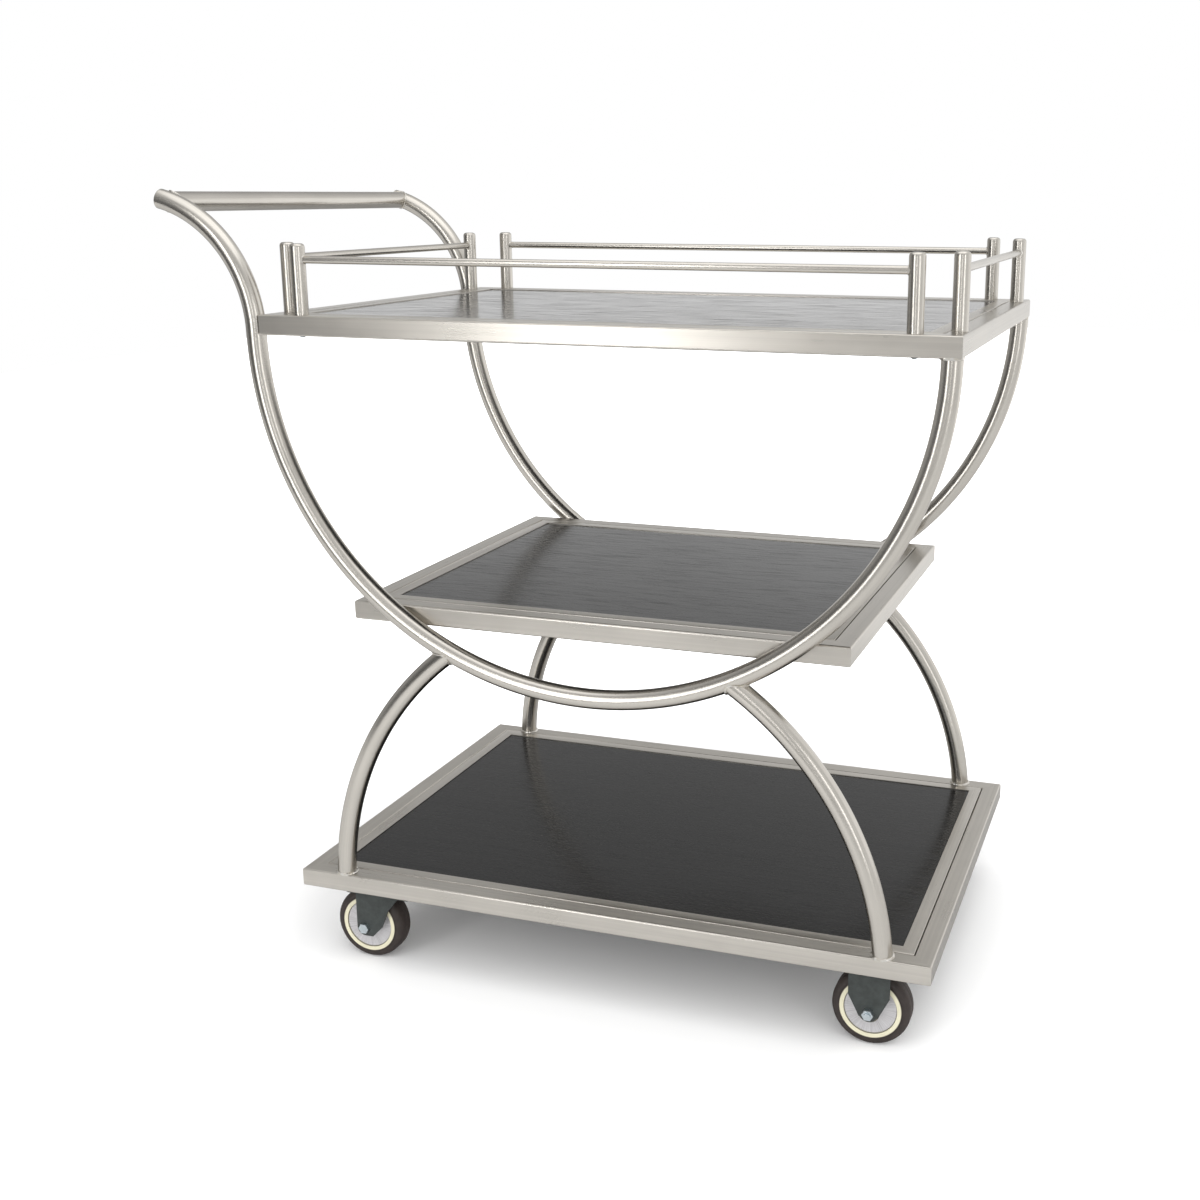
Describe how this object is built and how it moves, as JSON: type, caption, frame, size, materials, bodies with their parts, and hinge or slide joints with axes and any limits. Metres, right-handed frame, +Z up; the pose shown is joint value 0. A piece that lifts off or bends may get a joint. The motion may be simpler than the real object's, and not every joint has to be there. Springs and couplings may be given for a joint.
{
  "type": "bar cart",
  "caption": "Bar cart with flat shelves carried by two bent-tube hoops that run up into a push handle, on arched legs with swivel and rigid casters.",
  "frame": {"origin": "middle of the bounding box at floor level, under the cart", "axes": "+X along the cart away from the push handle, +Y from the front towards the back, +Z up"},
  "size_m": [1.034, 0.61, 1.0487],
  "materials": {
    "brushed_tube": "brushed along each tube, welds ground smooth",
    "laminate": "satin dark wood-grain laminate on board",
    "zinc_bolt": "zinc plated",
    "caster_steel": "satin dark green-black paint on pressed sheet",
    "ball": "polished",
    "tyre": "soft brown-black rubber",
    "wheel_core": "moulded, cream",
    "wheel_cover": "light grey with fine radial lines"
  },
  "bodies": {
    "chassis": {"top_front_tube": "brushed_tube", "top_right_tube": "brushed_tube", "top_back_tube": "brushed_tube", "top_left_tube": "brushed_tube", "middle_front_tube": "brushed_tube", "middle_right_tube": "brushed_tube", "middle_back_tube": "brushed_tube", "middle_left_tube": "brushed_tube", "bottom_front_tube": "brushed_tube", "bottom_right_tube": "brushed_tube", "bottom_back_tube": "brushed_tube", "bottom_left_tube": "brushed_tube", "top_bezel": "brushed_tube", "middle_bezel": "brushed_tube", "bottom_bezel": "brushed_tube", "shelf_cross_bars": "brushed_tube", "front_rail": "brushed_tube", "right_rail": "brushed_tube", "back_rail": "brushed_tube", "left_rail": "brushed_tube", "front_rail_posts": "brushed_tube", "right_rail_posts": "brushed_tube", "back_rail_posts": "brushed_tube", "left_rail_posts": "brushed_tube", "front_hoop": "brushed_tube", "back_hoop": "brushed_tube", "handle_bar": "brushed_tube", "handle_plugs": "brushed_tube", "front_left_leg": "brushed_tube", "front_right_leg": "brushed_tube", "back_left_leg": "brushed_tube", "back_right_leg": "brushed_tube", "caster_gussets": "brushed_tube", "top_panel": "laminate", "middle_panel": "laminate", "bottom_panel": "laminate", "post_screws": "zinc_bolt", "caster_bolts": "zinc_bolt", "rigid_axles": "zinc_bolt", "front_swivel_plate": "caster_steel", "back_swivel_plate": "caster_steel", "swivel_balls": "ball", "front_rigid_fork": "caster_steel", "back_rigid_fork": "caster_steel"},
    "front_swivel": {"front_swivel_fork": "caster_steel", "front_swivel_axle": "zinc_bolt"},
    "back_swivel": {"back_swivel_fork": "caster_steel", "back_swivel_axle": "zinc_bolt"},
    "front_swivel_wheel": {"front_swivel_tyre": "tyre", "front_swivel_core": "wheel_core", "front_swivel_covers": "wheel_cover"},
    "back_swivel_wheel": {"back_swivel_tyre": "tyre", "back_swivel_core": "wheel_core", "back_swivel_covers": "wheel_cover"},
    "front_rigid_wheel": {"front_rigid_tyre": "tyre", "front_rigid_core": "wheel_core", "front_rigid_covers": "wheel_cover"},
    "back_rigid_wheel": {"back_rigid_tyre": "tyre", "back_rigid_core": "wheel_core", "back_rigid_covers": "wheel_cover"}
  },
  "joints": [
    {"name": "front_swivel_turn", "type": "hinge", "parent": "chassis", "child": "front_swivel", "pos_m": [-0.25449, -0.2575, 0.104], "axis": [0, 0, 1], "continuous": true},
    {"name": "front_swivel_wheel_spin", "type": "hinge", "parent": "front_swivel", "child": "front_swivel_wheel", "pos_m": [-0.28549, -0.2575, 0.0508], "axis": [0, 1, 0], "continuous": true},
    {"name": "front_rigid_wheel_spin", "type": "hinge", "parent": "chassis", "child": "front_rigid_wheel", "pos_m": [0.43011, -0.2575, 0.0508], "axis": [0, 1, 0], "continuous": true},
    {"name": "back_swivel_turn", "type": "hinge", "parent": "chassis", "child": "back_swivel", "pos_m": [-0.25449, 0.2575, 0.104], "axis": [0, 0, 1], "continuous": true},
    {"name": "back_swivel_wheel_spin", "type": "hinge", "parent": "back_swivel", "child": "back_swivel_wheel", "pos_m": [-0.28549, 0.2575, 0.0508], "axis": [0, 1, 0], "continuous": true},
    {"name": "back_rigid_wheel_spin", "type": "hinge", "parent": "chassis", "child": "back_rigid_wheel", "pos_m": [0.43011, 0.2575, 0.0508], "axis": [0, 1, 0], "continuous": true}
  ]
}
